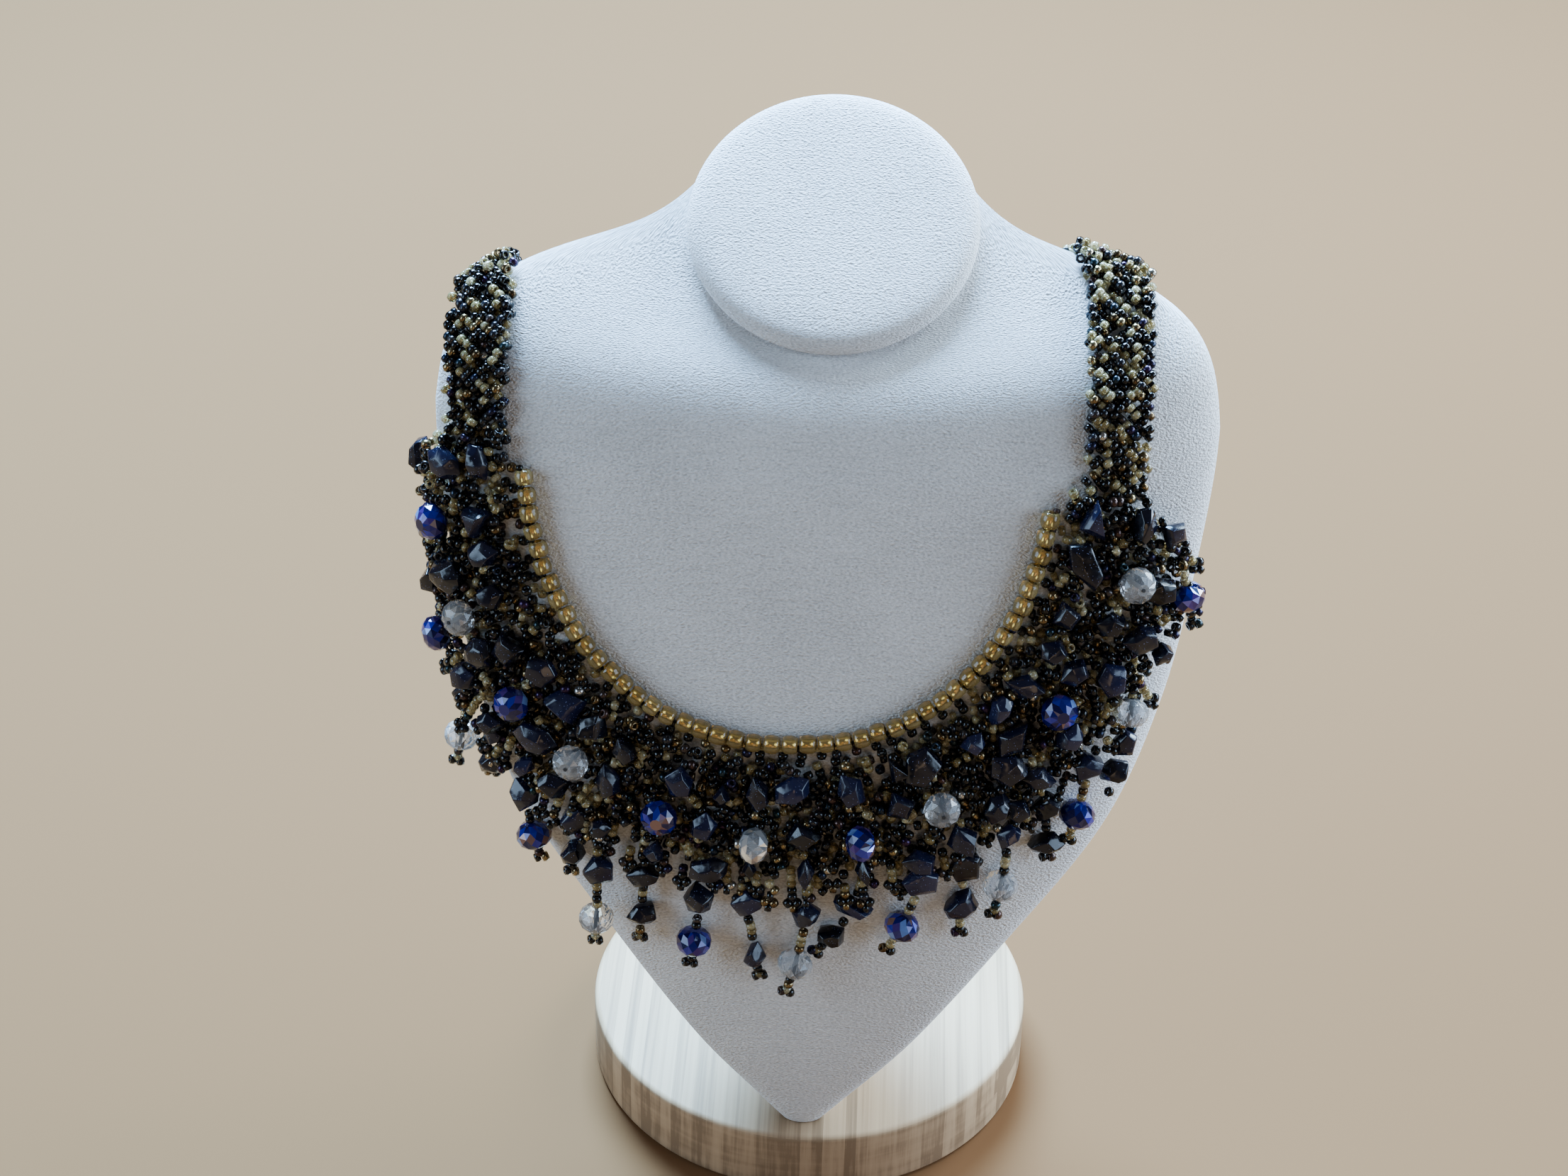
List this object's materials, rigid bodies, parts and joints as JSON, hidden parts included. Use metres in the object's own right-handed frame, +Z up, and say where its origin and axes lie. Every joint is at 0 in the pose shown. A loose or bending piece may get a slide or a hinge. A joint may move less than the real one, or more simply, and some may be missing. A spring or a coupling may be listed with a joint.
{
  "type": "bib necklace on a neck bust",
  "caption": "Beaded bib necklace with an amber bead neckline, dark stone chips, faceted rondelles and a fringe of drops, on a linen neck bust with a round wooden base.",
  "frame": {"origin": "centre of the wooden base's underside", "axes": "+Z up, the bust's chest faces -Y, +X is on the viewer's right"},
  "size_m": [0.1705, 0.1188, 0.2438],
  "materials": {
    "bamboo": "pale laminated bamboo, satin",
    "dowel_wood": "plain dowel",
    "linen": "pale grey woven linen, matt",
    "seed_beads": "glossy black, iris and smoky gold seed beads",
    "amber_glass": "gold-lined honey amber glass",
    "blue_glass": "faceted cobalt glass with an iridescent coat",
    "clear_glass": "faceted clear glass",
    "goldstone": "polished dark blue goldstone with fine sparkle",
    "clasp_metal": "plain antique brass"
  },
  "bodies": {
    "root": {"wood_base": "bamboo", "base_dowel": "dowel_wood", "linen_bust": "linen", "neck_cap": "linen", "bib_left": "seed_beads", "bib_right": "seed_beads", "amber_row": "amber_glass", "strap_left": "seed_beads", "strap_right": "seed_beads", "clasp": "clasp_metal", "rondelle_blue_1": "blue_glass", "rondelle_clear_2": "clear_glass", "rondelle_blue_3": "blue_glass", "rondelle_blue_4": "blue_glass", "rondelle_clear_5": "clear_glass", "rondelle_blue_6": "blue_glass", "rondelle_clear_7": "clear_glass", "rondelle_blue_8": "blue_glass", "rondelle_clear_9": "clear_glass", "rondelle_blue_10": "blue_glass", "rondelle_clear_11": "clear_glass", "drop_1": "goldstone", "drop_2": "goldstone", "drop_3": "goldstone", "drop_4": "goldstone", "drop_5": "goldstone", "drop_6": "goldstone", "drop_7": "goldstone", "drop_8": "goldstone", "drop_9": "goldstone", "drop_10": "goldstone", "drop_11": "goldstone", "drop_12": "goldstone", "drop_13": "goldstone", "drop_14": "goldstone", "drop_15": "goldstone", "drop_16": "goldstone", "drop_17": "goldstone"}
  },
  "joints": []
}
